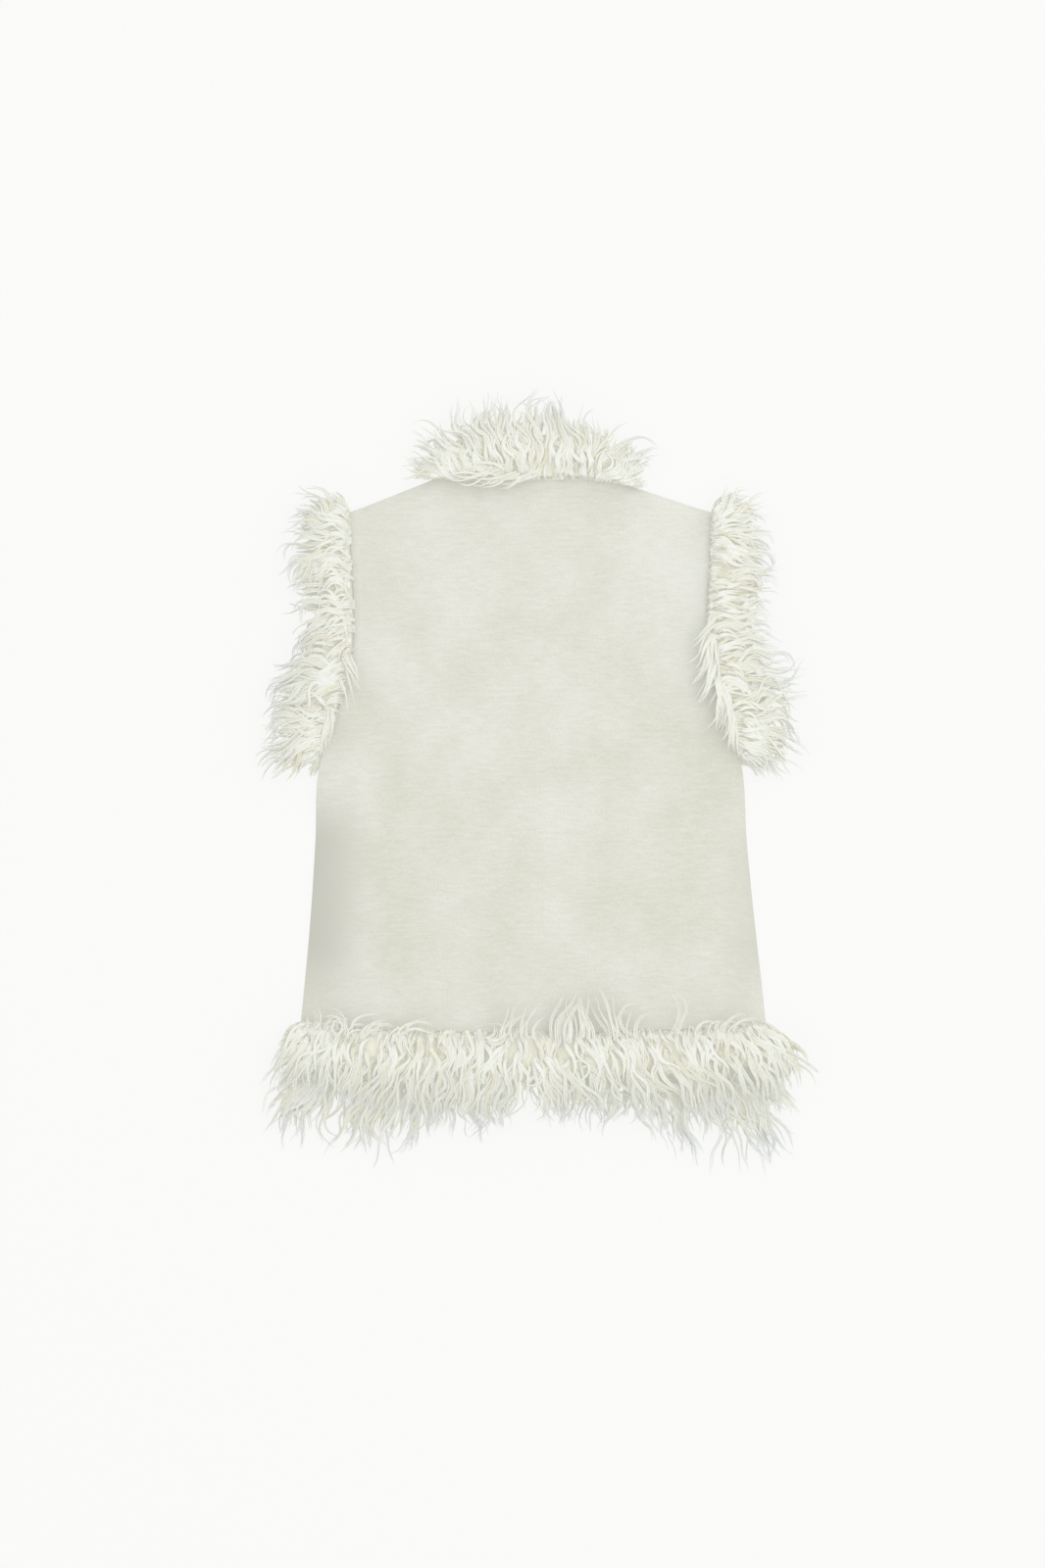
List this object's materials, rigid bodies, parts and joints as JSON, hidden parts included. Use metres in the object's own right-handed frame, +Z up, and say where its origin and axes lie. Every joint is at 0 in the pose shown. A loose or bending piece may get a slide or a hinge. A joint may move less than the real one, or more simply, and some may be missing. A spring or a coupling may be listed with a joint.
{
  "type": "faux fur trim vest",
  "caption": "Sleeveless cream suede-cloth vest with shaggy ivory faux fur round the collar, armholes and hem, laid flat with its back uppermost.",
  "frame": {"origin": "under the middle of the vest's box, on the surface that it lies on", "axes": "+Y from the hem to the collar, +Z up out of the back, -X towards the wearer's left"},
  "size_m": [0.6188, 0.84, 0.0389],
  "materials": {
    "suede_cloth": "matt brushed suede cloth with a fine crosswise slub, cream",
    "faux_fur": "long curly faux fur pile, ivory, with a soft sheen"
  },
  "bodies": {
    "root": {"back": "suede_cloth", "front_left": "suede_cloth", "front_right": "suede_cloth", "collar_back": "faux_fur", "collar_front_left": "faux_fur", "collar_front_right": "faux_fur", "armhole_trim_back_left": "faux_fur", "armhole_trim_back_right": "faux_fur", "armhole_trim_front_left": "faux_fur", "armhole_trim_front_right": "faux_fur", "hem_trim_back": "faux_fur", "hem_trim_front_left": "faux_fur", "hem_trim_front_right": "faux_fur"}
  },
  "joints": []
}
